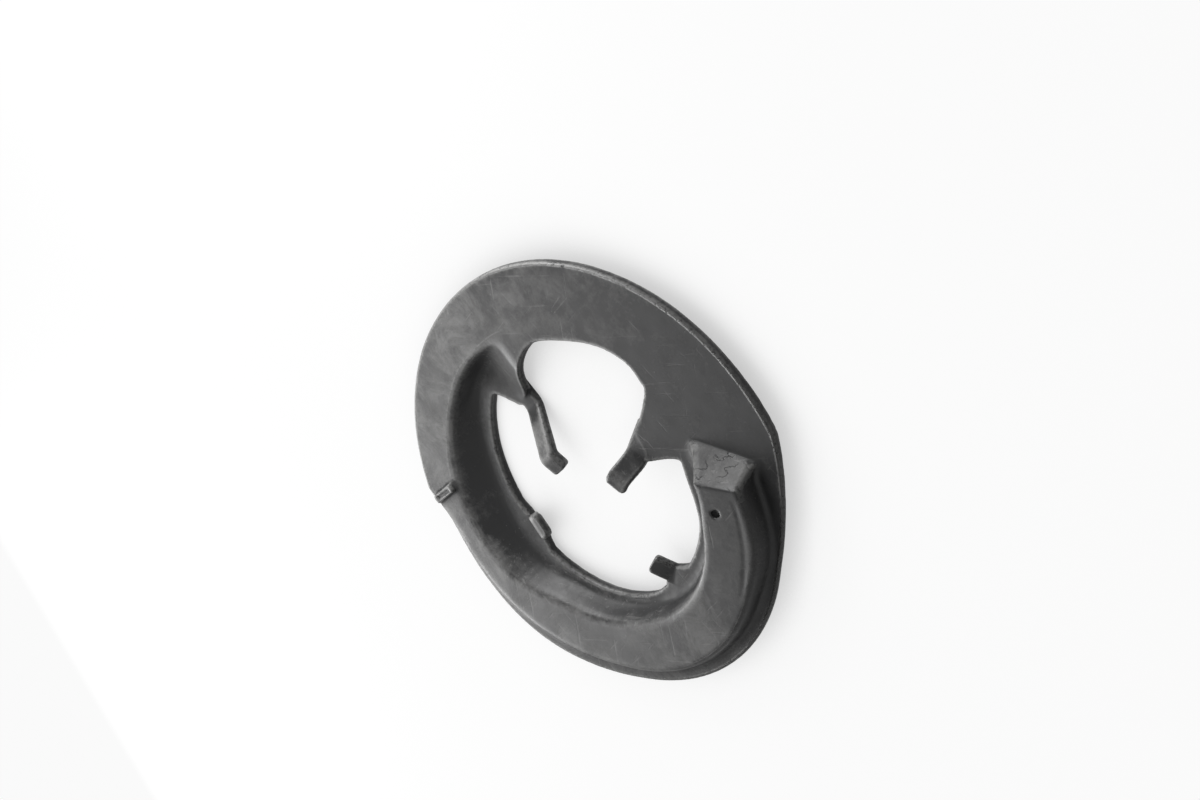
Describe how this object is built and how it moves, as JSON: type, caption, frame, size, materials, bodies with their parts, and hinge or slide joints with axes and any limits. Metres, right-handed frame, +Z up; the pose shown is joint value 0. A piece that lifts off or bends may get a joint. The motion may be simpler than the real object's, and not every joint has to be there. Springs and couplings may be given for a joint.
{
  "type": "coil spring seat pad",
  "caption": "Moulded rubber pad that seats a coil spring: a flanged ring with a helical seat, a sloping stop for the wire's tip, a low hollow, bent fingers and a locating nub.",
  "frame": {"origin": "centre of the pad's bounding box, on the plane under the hollow's underside", "axes": "+Z up, square to the flange, towards the spring; +Y points from the middle of the ring to the middle of the wide part of the flange"},
  "size_m": [0.1448, 0.1494, 0.0196],
  "materials": {
    "spring_seat_pad": "satin"
  },
  "bodies": {
    "root": {"spring_seat_pad": "spring_seat_pad"}
  },
  "joints": []
}
